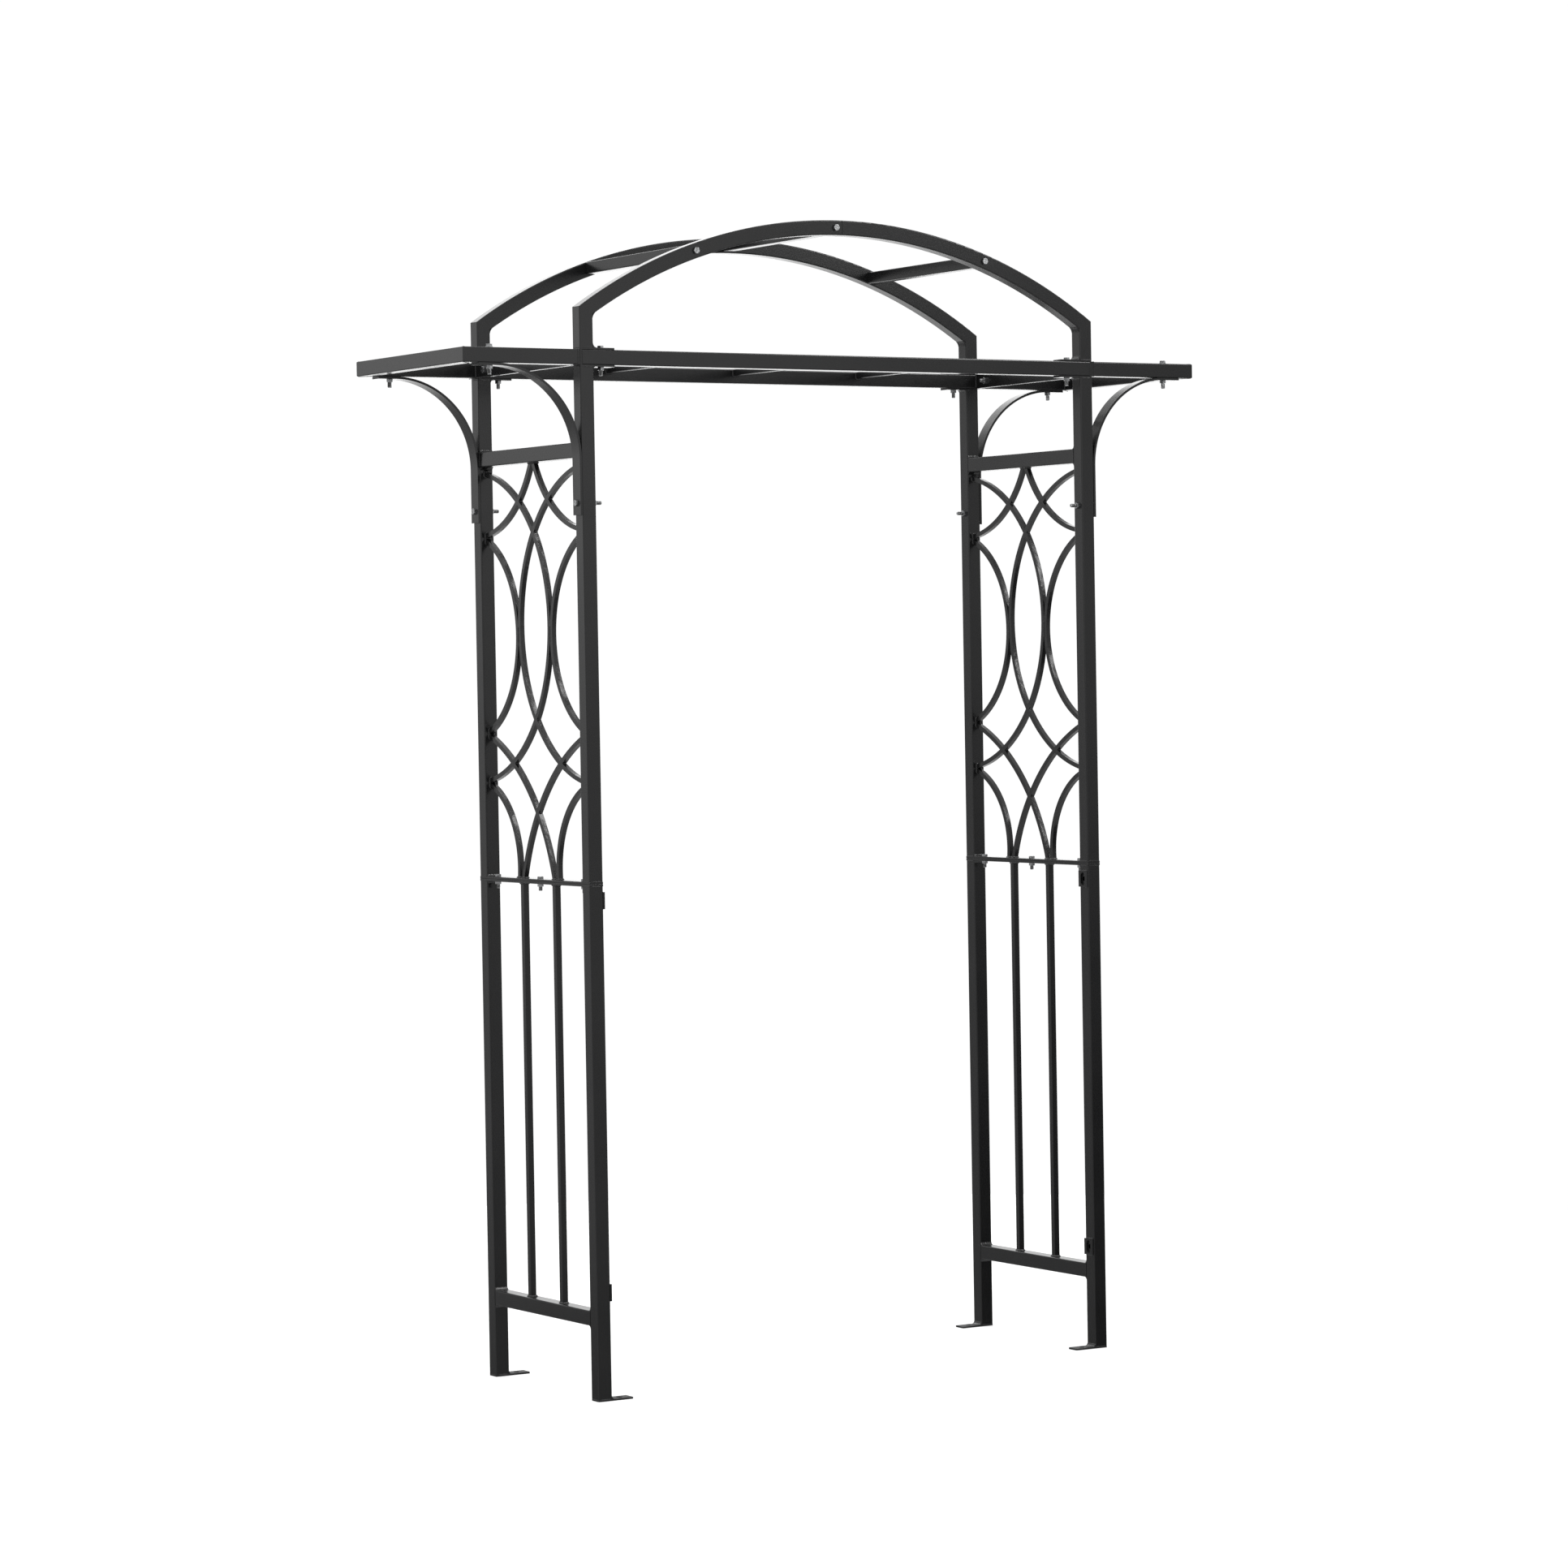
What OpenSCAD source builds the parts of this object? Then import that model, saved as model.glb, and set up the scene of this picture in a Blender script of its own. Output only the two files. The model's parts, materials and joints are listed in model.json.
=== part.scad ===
// Metal trellis arch: two stacked side frames a side, a ladder-like top frame with an
// overhang at each end, a pair of bowed arches above it and four curved brackets.
// X runs across the walkway, Y through it (the front is -Y) and Z up.
// The origin is on the ground at the middle of the footprint. All sizes are in millimetres.

/* [Overall] */
// Width over the outer faces of the posts
frame_w = 1015; // [900:1:1220]
// Depth over the front and rear faces of the posts
frame_d = 380; // [315:1:480]
// Height of each of the two side frames stacked on one another
side_h = 845; // [760:5:1020]
// Reach of the top frame past the posts, on each side
overhang = 215; // [170:5:270]
// Rise of the crown above the top frame
arch_rise = 226.5; // [185:0.5:290]
// Height of the shoulder corners above the top frame
shoulder_h = 70; // [50:1:95]

/* [Tube and bar] */
// Side of the square frame tube
tube = 25; // [22:1:30]
// Wall thickness of every tube
wall = 1.2; // [1:0.1:1.5]
// Outer corner radius of every tube
corner_r = 2; // [1.8:0.1:3]
// Thickness of the flat bar in the splices, the end joints and the brackets
bar_t = 4; // [3:0.5:6]
// Thickness of the foot, post top and arch foot plates
plate_t = 3; // [2:0.5:5]
// How far those plates stick out of their post, into the walkway
plate_reach = 40; // [32:1:60]
// Side of the solid pickets in the lower side frames
picket = 10; // [8:1:14]
// Side of the solid bent bars in the lattice
rod = 8; // [6:0.5:10]
// Side of the slat tubes in the top frame
slat = 12; // [10:1:18]
// Side of the crossbar tubes between the two arches
crossbar = 20; // [16:1:22]

/* [Layout] */
// Height of the lower rail's underside above the ground
lower_rail_z = 122; // [80:1:200]
// Distance from the upper rail's underside up to the top frame
upper_rail_drop = 150; // [110:5:220]
// Distance between the two pickets of a side, centre to centre
picket_pitch = 110; // [80:5:140]
// Distance from the seam at the crown to each outer crossbar
crossbar_x = 286; // [240:1:330]

/* [Fasteners] */
// Diameter of every bolt
bolt_d = 6; // [5:0.5:8]
// Diameter of the peg holes in the foot plates
ground_hole_d = 10; // [6:0.5:12]
// Diameter of the gate holes in the two front posts
gate_hole_d = 8; // [6:0.5:9]

/* [Hidden] */
$fn = 64;
// Facets of the large bends, fine enough to keep their sections true
bend_fn = 360;

// Colours of the powder coat, the zinc on the fasteners and bare steel
black_paint = [0.15, 0.15, 0.16];
zinc = [0.76, 0.77, 0.79];
bare_steel = [0.55, 0.56, 0.57];

// Sides and ends, as signs of X and Y
LEFT = -1;
RIGHT = 1;
FRONT = -1;
REAR = 1;

// Centre lines of the posts
post_x = frame_w / 2 - tube / 2;
post_y = frame_d / 2 - tube / 2;
// Inner faces of the posts across the walkway and along a side frame
inner_x = frame_w / 2 - tube;
inner_y = frame_d / 2 - tube;

// Heights of the splice between side frames, the top frame's underside and its top
splice_z = side_h;
frame_z = 2 * side_h;
deck_z = frame_z + tube;
upper_rail_z = frame_z - upper_rail_drop;

// Radius of a flat bar's edges, which leaves a fine groove where two bars are bolted up
edge_r = 0.8;
// Inner corner radius of a tube, and the clear width of the frame tube's inside
inner_r = corner_r - wall;
inner_tube = tube - 2 * wall;

// Hex bolts, nuts and washers, in proportion to the bolt
hex_af = bolt_d * 10 / 6;
head_h = bolt_d * 4 / 6;
nut_h = bolt_d * 5 / 6;
washer_d = 2 * bolt_d;
washer_t = 1.6;
bolt_hole_d = bolt_d + 0.5;
thread_gap = 0.2;
short_bolt_l = 2 * bar_t + nut_h + 7;
arch_bolt_l = 2 * plate_t + tube + nut_h + 9;
bracket_beam_bolt_l = washer_t + tube + bar_t + nut_h + 9.4;
bracket_post_bolt_l = bar_t + tube + nut_h + 11;
crossbar_bolt_l = tube + 20;

// Bolts sit this far from the inner face of a post in the splices
splice_bolt_inset = 16;
splice_bolt_y = [-(inner_y - splice_bolt_inset), 0, inner_y - splice_bolt_inset];
// Bolts through the end joints of the top frame
seam_bolt_y = inner_y - 30;
seam_bolt_z = frame_z + tube / 2;
// Bolts through the plates that stick out of the posts
plate_bolt_x = inner_x - plate_reach / 2;

// Gate pads: their size, slot and heights on the front posts
pad_t = 3;
pad_h = 28;
pad_slot_w = 12;
pad_slot_h = 22;
gate_pad_z = [lower_rail_z + tube + 30, side_h - bar_t - 23];

// Curved brackets: radius of the bend's back, and the lengths of the two straight tails
bracket_r = overhang - 61;
bracket_foot_l = 90;
bracket_head_l = 32;
bracket_bend_z = frame_z - bracket_r;
bracket_post_bolt_z = bracket_bend_z - bracket_foot_l + 20;
bracket_beam_bolt_x = frame_w / 2 + bracket_r + 6;

// Arch: the bow's outer radius and centre, from its width and its rise over the shoulders
bow_rise = arch_rise - shoulder_h;
half_w = frame_w / 2;
bow_r = (half_w * half_w + bow_rise * bow_rise) / (2 * bow_rise);
bow_z = deck_z + arch_rise - bow_r;
bow_mid_r = bow_r - tube / 2;
shoulder_a = asin(half_w / bow_r);
// The mitre at the shoulder runs from the outer corner down to the inner one
mitre_outer_z = deck_z + shoulder_h;
mitre_inner_z = bow_z + sqrt(pow(bow_r - tube, 2) - pow(inner_x, 2));
mitre_a = atan2(mitre_outer_z - mitre_inner_z, tube);
// The crown crossbar stands beside the seam; the sleeve bridges the seam
crown_bar_x = crossbar / 2 + 3;
crossbar_xs = [-crossbar_x, -crown_bar_x, crossbar_x];
sleeve_a = 2.6;
// Angle that each half of an arch stops short of the crown, which leaves a fine seam
seam_a = 0.02;
sleeve_wall = 1.5;
plug_l = 20;

// Opening of an upper side frame, which the lattice fills
open_z0 = splice_z + bar_t;
open_h = upper_rail_z - open_z0;
// Heights at which bars of the lattice meet in pairs on the posts
high_joint_z = open_z0 + 0.832 * open_h;
mid_joint_z = open_z0 + 0.348 * open_h;
low_joint_z = open_z0 + 0.229 * open_h;
pair_gap = 7;
// Each bar's centre line as [lower end, upper end, bulge]: the ends are [y, z] points and
// the bulge is the height of the arc over its chord, toward -Y
long_reach = 0.31 * inner_y;
long_arc = [
    [inner_y, low_joint_z + pair_gap / 2],
    [inner_y, upper_rail_z - 12],
    inner_y + long_reach
];
top_arc = [[inner_y, high_joint_z], [5, upper_rail_z], 25];
side_arc = [
    [inner_y, mid_joint_z + pair_gap / 2],
    [inner_y, high_joint_z - rod],
    inner_y - long_reach - rod + 0.5
];
cross_arc = [[-0.32 * inner_y, open_z0], [inner_y, mid_joint_z - pair_gap / 2], 38];
foot_arc = [[0.41 * inner_y, open_z0], [inner_y, low_joint_z - pair_gap / 2], 32];

// Radius and centre [y, z] of an arc given as above
function arc_half(a) = norm(a[1] - a[0]) / 2;
function arc_r(a) = (pow(arc_half(a), 2) + pow(a[2], 2)) / (2 * a[2]);
function arc_side(a) = [a[0][1] - a[1][1], a[1][0] - a[0][0]] / (2 * arc_half(a));
function arc_centre(a) = (a[0] + a[1]) / 2 - arc_side(a) * (arc_r(a) - a[2]);

// Height of the arch tube's centre line at a distance x from the crown
function bow_height(x) = bow_z + sqrt(pow(bow_mid_r, 2) - pow(x, 2));

// ---- Shared shapes ----

// Rectangle about the origin, with rounded corners
module rounded_rect(w, h, r) {
    square([w - 2 * r, h], center = true);
    square([w, h - 2 * r], center = true);
    for (x = [-1, 1], y = [-1, 1])
        translate([x * (w / 2 - r), y * (h / 2 - r)]) circle(r);
}

// Section of a square tube
module tube_section(side) {
    difference() {
        rounded_rect(side, side, corner_r);
        rounded_rect(side - 2 * wall, side - 2 * wall, inner_r);
    }
}

// Square tube centred on the origin, along Z
module square_tube(side, length) {
    linear_extrude(length, center = true) tube_section(side);
}

module along_x() rotate([0, 90, 0]) children();
module along_y() rotate([90, 0, 0]) children();

// Flat bar centred on the origin, as long as the frame is deep and as wide as its tube,
// lying flat with the edges of its ends and long sides rounded
module flat_bar() {
    intersection() {
        along_y() linear_extrude(frame_d, center = true) rounded_rect(tube, bar_t, edge_r);
        along_x() linear_extrude(tube, center = true) rounded_rect(bar_t, frame_d, edge_r);
    }
}

// Hex prism with its corners taken off at both ends, standing on z = 0
module hex_block(height) {
    bevel_r = 0.97 * hex_af / 2;
    intersection() {
        cylinder(h = height, r = hex_af / sqrt(3), $fn = 6);
        cylinder(h = height, r1 = bevel_r, r2 = bevel_r + 2 * height);
        cylinder(h = height, r1 = bevel_r + 2 * height, r2 = bevel_r);
    }
}

// Hex bolt with the underside of its head on z = 0 and its shank pointing down
module hex_bolt(length) {
    color(zinc) {
        hex_block(head_h);
        translate([0, 0, 0.6 - length]) cylinder(h = length - 0.6, d = bolt_d);
        translate([0, 0, -length]) cylinder(h = 0.6, d1 = bolt_d - 1.2, d2 = bolt_d);
    }
}

// Hex nut hanging from z = 0
module hex_nut() {
    color(zinc) translate([0, 0, -nut_h]) difference() {
        hex_block(nut_h);
        translate([0, 0, -1]) cylinder(h = nut_h + 2, d = bolt_d + thread_gap);
    }
}

// Round hole about the origin, along Z
module drill(d, depth) cylinder(h = depth, d = d, center = true);

// ---- Places where pieces repeat: local z = 0 is under the bolt's head, +Z out of it ----

module at_splice_bolts() {
    for (side = [LEFT, RIGHT], y = splice_bolt_y)
        translate([side * post_x, y, splice_z + bar_t]) children();
}

module at_seam_bolts() {
    for (side = [LEFT, RIGHT], face = [FRONT, REAR])
        translate([side * (half_w + bar_t), face * seam_bolt_y, seam_bolt_z])
            rotate([0, side * 90, 0]) children();
}

module at_arch_bolts() {
    for (side = [LEFT, RIGHT], face = [FRONT, REAR])
        translate([side * plate_bolt_x, face * post_y, deck_z + plate_t]) children();
}

module at_bracket_beam_bolts() {
    for (side = [LEFT, RIGHT], face = [FRONT, REAR])
        translate([side * bracket_beam_bolt_x, face * post_y, deck_z + washer_t]) children();
}

module at_bracket_post_bolts() {
    for (side = [LEFT, RIGHT], face = [FRONT, REAR])
        translate([side * (half_w + bar_t), face * post_y, bracket_post_bolt_z])
            rotate([0, side * 90, 0]) children();
}

module at_crossbar_bolts() {
    for (x = crossbar_xs, face = [FRONT, REAR])
        translate([x, face * frame_d / 2, bow_height(x)])
            rotate([-face * 90, 0, 0]) children();
}

// ---- Lower side frames ----

// Plate across a post's end, with one hole in the part that sticks into the walkway
module post_plate(side, face, z, hole_d) {
    length = tube + plate_reach;
    color(black_paint) difference() {
        translate([side * (half_w - length / 2), face * post_y, z])
            linear_extrude(plate_t) rounded_rect(length, tube, corner_r);
        translate([side * plate_bolt_x, face * post_y, z]) drill(hole_d, 4 * plate_t);
    }
}

// Plates under the four lower posts, with a hole for a ground peg
module foot_plates() {
    for (side = [LEFT, RIGHT], face = [FRONT, REAR])
        post_plate(side, face, 0, ground_hole_d);
}

// Lower post, plate to splice bar; a front one is drilled for the gate on its inner wall
module lower_post(side, face) {
    length = side_h - bar_t - plate_t;
    color(black_paint) difference() {
        translate([side * post_x, face * post_y, plate_t + length / 2])
            square_tube(tube, length);
        if (face == FRONT)
            for (z = gate_pad_z)
                translate([side * inner_x, face * post_y, z])
                    along_x() drill(gate_hole_d, 4 * wall);
    }
}

module lower_post_left_front() lower_post(LEFT, FRONT);
module lower_post_left_rear() lower_post(LEFT, REAR);
module lower_post_right_front() lower_post(RIGHT, FRONT);
module lower_post_right_rear() lower_post(RIGHT, REAR);

// Tube between the two posts of a side, its underside at height z
module rail(side, z) {
    color(black_paint) translate([side * post_x, 0, z + tube / 2])
        along_y() square_tube(tube, 2 * inner_y);
}

module lower_rail_left() rail(LEFT, lower_rail_z);
module lower_rail_right() rail(RIGHT, lower_rail_z);

// The two solid pickets of a side, from the lower rail up to the splice bar
module pickets(side) {
    z0 = lower_rail_z + tube;
    color(black_paint) for (y = [-1, 1])
        translate([side * post_x - picket / 2, y * picket_pitch / 2 - picket / 2, z0])
            cube([picket, picket, side_h - bar_t - z0]);
}

module pickets_left() pickets(LEFT);
module pickets_right() pickets(RIGHT);

// Flat bar that caps or foots a side frame at the splice, drilled for three bolts
module splice_bar(side, z) {
    color(black_paint) difference() {
        translate([side * post_x, 0, z + bar_t / 2]) flat_bar();
        for (y = splice_bolt_y)
            translate([side * post_x, y, z]) drill(bolt_hole_d, 4 * bar_t);
    }
}

module lower_splice_bar_left() splice_bar(LEFT, splice_z - bar_t);
module lower_splice_bar_right() splice_bar(RIGHT, splice_z - bar_t);

// Slotted pads for a gate's hinges or latch, on the walkway faces of the front posts
module gate_hinge_pads() {
    straight = pad_slot_h - pad_slot_w;
    color(black_paint) for (side = [LEFT, RIGHT], z = gate_pad_z)
        translate([side * (inner_x - pad_t / 2), FRONT * post_y, z])
            along_x() linear_extrude(pad_t, center = true) difference() {
                square([pad_h, tube], center = true);
                square([straight, pad_slot_w], center = true);
                for (end = [-1, 1])
                    translate([end * straight / 2, 0]) circle(d = pad_slot_w);
            }
}

// ---- Upper side frames ----

module upper_splice_bar_left() splice_bar(LEFT, splice_z);
module upper_splice_bar_right() splice_bar(RIGHT, splice_z);

// Upper post, splice bar to top plate, drilled through both walls for the bracket's bolt
module upper_post(side, face) {
    z0 = splice_z + bar_t;
    length = frame_z - plate_t - z0;
    color(black_paint) difference() {
        translate([side * post_x, face * post_y, z0 + length / 2])
            square_tube(tube, length);
        translate([side * post_x, face * post_y, bracket_post_bolt_z])
            along_x() drill(bolt_hole_d, 2 * tube);
    }
}

module upper_post_left_front() upper_post(LEFT, FRONT);
module upper_post_left_rear() upper_post(LEFT, REAR);
module upper_post_right_front() upper_post(RIGHT, FRONT);
module upper_post_right_rear() upper_post(RIGHT, REAR);

module upper_rail_left() rail(LEFT, upper_rail_z);
module upper_rail_right() rail(RIGHT, upper_rail_z);

// Full ring that a bent bar is cut from, and the disc inside its outer edge
module ring(a, thickness = rod) {
    rotate([0, 90, 0]) linear_extrude(thickness, center = true) difference() {
        circle(arc_r(a) + rod / 2, $fn = bend_fn);
        circle(arc_r(a) - rod / 2, $fn = bend_fn);
    }
}

module disc(a) {
    rotate([0, 90, 0])
        cylinder(h = 2 * rod, r = arc_r(a) + rod / 2, center = true, $fn = bend_fn);
}

// A shape at an arc's centre, and its mirror image across the middle of the side frame
module both_hands(side, a) {
    for (hand = [0, 1])
        mirror([0, hand, 0])
            translate([side * post_x, arc_centre(a)[0], arc_centre(a)[1]]) children();
}

// A pair of bent bars, ending on the posts, the splice bar or the upper rail
module bent_bars(side, a) {
    intersection() {
        both_hands(side, a) ring(a);
        translate([side * post_x - tube / 2, -inner_y, open_z0])
            cube([tube, 2 * inner_y, open_h]);
    }
}

// Long arcs: they cross one another twice, and every other bar is cut to fit them
module long_arcs(side) color(black_paint) bent_bars(side, long_arc);

// Top arcs: from the posts up to the upper rail, each in two lengths
module top_arcs(side) {
    color(black_paint) difference() {
        bent_bars(side, top_arc);
        both_hands(side, long_arc) ring(long_arc, 2 * rod);
    }
}

// Side arcs: they bow in from each post and touch the long arc of the other hand
module side_arcs(side) {
    color(black_paint) difference() {
        bent_bars(side, side_arc);
        both_hands(side, long_arc) ring(long_arc, 2 * rod);
        both_hands(side, top_arc) disc(top_arc);
    }
}

// Cross arcs: from the posts down across the middle to the splice bar
module cross_arcs(side) {
    color(black_paint) difference() {
        bent_bars(side, cross_arc);
        both_hands(side, long_arc) ring(long_arc, 2 * rod);
        both_hands(side, side_arc) disc(side_arc);
    }
}

// Foot arcs: from the posts down to the splice bar on their own half
module foot_arcs(side) {
    color(black_paint) difference() {
        bent_bars(side, foot_arc);
        both_hands(side, long_arc) disc(long_arc);
    }
}

module long_arcs_left() long_arcs(LEFT);
module long_arcs_right() long_arcs(RIGHT);
module top_arcs_left() top_arcs(LEFT);
module top_arcs_right() top_arcs(RIGHT);
module side_arcs_left() side_arcs(LEFT);
module side_arcs_right() side_arcs(RIGHT);
module cross_arcs_left() cross_arcs(LEFT);
module cross_arcs_right() cross_arcs(RIGHT);
module foot_arcs_left() foot_arcs(LEFT);
module foot_arcs_right() foot_arcs(RIGHT);

module post_top_plates() {
    for (side = [LEFT, RIGHT], face = [FRONT, REAR])
        post_plate(side, face, frame_z - plate_t, bolt_hole_d);
}

// ---- Top frame ----

// Front or rear beam between the end bars, drilled for the two arch bolts
module beam(face) {
    color(black_paint) difference() {
        translate([0, face * post_y, frame_z + tube / 2])
            along_x() square_tube(tube, frame_w - 2 * bar_t);
        for (side = [LEFT, RIGHT])
            translate([side * plate_bolt_x, face * post_y, frame_z + tube / 2])
                drill(bolt_hole_d, 2 * tube);
    }
}

module front_beam() beam(FRONT);
module rear_beam() beam(REAR);

// Three slats between the beams, level with their tops
module slats() {
    color(black_paint) for (x = [-1, 0, 1])
        translate([x * frame_w / 4, 0, deck_z - slat / 2])
            along_y() square_tube(slat, 2 * inner_y);
}

// Pair of upright flat bars at a distance x from the middle, drilled for the seam bolts
module end_bars(x) {
    color(black_paint) for (side = [LEFT, RIGHT]) difference() {
        translate([side * x, 0, frame_z + tube / 2]) along_x() flat_bar();
        for (face = [FRONT, REAR])
            translate([side * x, face * seam_bolt_y, seam_bolt_z])
                along_x() drill(bolt_hole_d, 4 * bar_t);
    }
}

module ladder_end_bars() end_bars(half_w - bar_t / 2);
module overhang_joint_bars() end_bars(half_w + bar_t / 2);

// Block beside the 45 degree mitre at an overhang's corner, on the end beam's side of it
// (part = 0) or on the arm's side (part = 1)
module mitre_block(side, face, part) {
    size = 4 * tube;
    mirror([side < 0 ? 1 : 0, 0, 0]) mirror([0, face < 0 ? 1 : 0, 0])
        translate([half_w + overhang, frame_d / 2, frame_z]) rotate([0, 0, 45])
            translate([-size, (part - 1) * size, -size / 2]) cube([2 * size, size, size]);
}

// Arms of the overhangs, from the joint bars out to the mitred corners, each with a hole
// for its bracket's bolt
module overhang_stubs() {
    length = overhang - bar_t;
    color(black_paint) for (side = [LEFT, RIGHT], face = [FRONT, REAR]) difference() {
        translate([side * (half_w + bar_t + length / 2), face * post_y,
                   frame_z + tube / 2])
            along_x() square_tube(tube, length);
        mitre_block(side, face, 0);
        translate([side * bracket_beam_bolt_x, face * post_y, frame_z + tube / 2])
            drill(bolt_hole_d, 2 * tube);
    }
}

// Outer beam of an overhang, mitred to its two arms
module overhang_end_beam(side) {
    color(black_paint) difference() {
        translate([side * (half_w + overhang - tube / 2), 0, frame_z + tube / 2])
            along_y() square_tube(tube, frame_d);
        for (face = [FRONT, REAR])
            mitre_block(side, face, 1);
    }
}

module overhang_end_beam_left() overhang_end_beam(LEFT);
module overhang_end_beam_right() overhang_end_beam(RIGHT);

// ---- Arches ----

module arch_foot_plates() {
    for (side = [LEFT, RIGHT], face = [FRONT, REAR])
        post_plate(side, face, deck_z, bolt_hole_d);
}

// Stretch of the bow between two angles from the X axis, swept from the section given
module bow(a0, a1) {
    translate([0, 0, bow_z]) rotate([90, 0, 0]) rotate([0, 0, a0])
        rotate_extrude(angle = a1 - a0, $fn = bend_fn)
            translate([bow_mid_r, 0]) children();
}

// Block above the shoulder's mitre (up = 0) or below it (up = 1), for the right-hand half
module shoulder_block(up) {
    size = 4 * tube;
    translate([half_w, 0, mitre_outer_z]) rotate([0, -mitre_a, 0])
        translate([-size, -size / 2, -up * size]) cube([2 * size, size, size]);
}

// Puts a shape made for the right-hand half of an arch in the plane of the front or rear
// arch, mirrored for the left-hand half
module in_arch(side, face) {
    mirror([side < 0 ? 1 : 0, 0, 0]) translate([0, face * post_y, 0]) children();
}

// Straight legs on the foot plates, mitred where the bows begin
module arch_legs() {
    foot_z = deck_z + plate_t;
    leg_l = mitre_outer_z - foot_z;
    color(black_paint) for (side = [LEFT, RIGHT], face = [FRONT, REAR])
        in_arch(side, face) difference() {
            translate([post_x, 0, foot_z + leg_l / 2]) square_tube(tube, leg_l);
            shoulder_block(0);
        }
}

// Half an arch's bow, from the shoulder's mitre to the seam, drilled for the crossbars
module arch_half(side, face) {
    bolt_xs = side == LEFT ? [crown_bar_x, crossbar_x] : [crossbar_x];
    color(black_paint) in_arch(side, face) difference() {
        bow(90 - shoulder_a - 2, 90 - seam_a) tube_section(tube);
        shoulder_block(1);
        for (x = bolt_xs)
            translate([x, 0, bow_height(x)]) along_y() drill(bolt_hole_d, 2 * tube);
    }
}

module arch_front_left() arch_half(LEFT, FRONT);
module arch_front_right() arch_half(RIGHT, FRONT);
module arch_rear_left() arch_half(LEFT, REAR);
module arch_rear_right() arch_half(RIGHT, REAR);

// Sleeves inside the arches, which join the two halves at the crown
module arch_sleeves() {
    core = inner_tube - 2 * sleeve_wall;
    color(bare_steel) for (face = [FRONT, REAR])
        translate([0, face * post_y, 0]) difference() {
            bow(90 - sleeve_a, 90 + sleeve_a) difference() {
                rounded_rect(inner_tube, inner_tube, inner_r);
                square(core, center = true);
            }
            translate([-crown_bar_x, 0, bow_height(crown_bar_x)])
                along_y() drill(bolt_hole_d, 2 * tube);
        }
}

// Crossbars between the front and rear arch
module crossbars() {
    color(black_paint) for (x = crossbar_xs)
        translate([x, 0, bow_height(x)]) along_y() square_tube(crossbar, 2 * inner_y);
}

// Threaded plugs in the crossbars' ends
module crossbar_plugs() {
    side = crossbar - 2 * wall;
    color(bare_steel) for (x = crossbar_xs, face = [FRONT, REAR])
        translate([x, face * (inner_y - plug_l / 2), bow_height(x)])
            along_y() linear_extrude(plug_l, center = true) difference() {
                rounded_rect(side, side, inner_r);
                circle(d = bolt_d + thread_gap);
            }
}

// ---- Brackets ----

// Flat bar bent through a quarter turn, from the post's outer face to the beam's underside
module bracket(side, face) {
    color(black_paint) mirror([side < 0 ? 1 : 0, 0, 0])
        translate([half_w, face * post_y, bracket_bend_z]) difference() {
            along_y() linear_extrude(tube, center = true) {
                translate([0, -bracket_foot_l]) square([bar_t, bracket_foot_l]);
                translate([bracket_r, 0]) intersection() {
                    difference() {
                        circle(bracket_r, $fn = bend_fn);
                        circle(bracket_r - bar_t, $fn = bend_fn);
                    }
                    translate([-2 * bracket_r, 0]) square(2 * bracket_r);
                }
                translate([bracket_r, bracket_r - bar_t]) square([bracket_head_l, bar_t]);
            }
            translate([0, 0, bracket_post_bolt_z - bracket_bend_z])
                along_x() drill(bolt_hole_d, 4 * bar_t);
            translate([bracket_beam_bolt_x - half_w, 0, bracket_r])
                drill(bolt_hole_d, 4 * bar_t);
        }
}

module bracket_left_front() bracket(LEFT, FRONT);
module bracket_left_rear() bracket(LEFT, REAR);
module bracket_right_front() bracket(RIGHT, FRONT);
module bracket_right_rear() bracket(RIGHT, REAR);

// ---- Fasteners ----

// Bolts of the splices and of the end joints, both through two flat bars
module short_bolts() {
    at_splice_bolts() hex_bolt(short_bolt_l);
    at_seam_bolts() hex_bolt(short_bolt_l);
}

// Bolts down through an arch foot plate, a beam and a post top plate
module arch_bolts() at_arch_bolts() hex_bolt(arch_bolt_l);

// Bolts down through the overhang's arms into the brackets
module bracket_beam_bolts() at_bracket_beam_bolts() hex_bolt(bracket_beam_bolt_l);

// Bolts through the brackets and right through the posts
module bracket_post_bolts() at_bracket_post_bolts() hex_bolt(bracket_post_bolt_l);

// Bolts through the arches into the crossbars' plugs
module crossbar_bolts() at_crossbar_bolts() hex_bolt(crossbar_bolt_l);

// Nuts of every bolt but the crossbars', which screw into plugs
module hex_nuts() {
    at_splice_bolts() translate([0, 0, -2 * bar_t]) hex_nut();
    at_seam_bolts() translate([0, 0, -2 * bar_t]) hex_nut();
    at_arch_bolts() translate([0, 0, -tube - 2 * plate_t]) hex_nut();
    at_bracket_beam_bolts() translate([0, 0, -washer_t - tube - bar_t]) hex_nut();
    at_bracket_post_bolts() translate([0, 0, -bar_t - tube]) hex_nut();
}

// Washers under the heads of the bracket beam bolts
module washers() {
    color(zinc) at_bracket_beam_bolts() translate([0, 0, -washer_t]) difference() {
        cylinder(h = washer_t, d = washer_d);
        translate([0, 0, -1]) cylinder(h = washer_t + 2, d = bolt_hole_d);
    }
}

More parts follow.
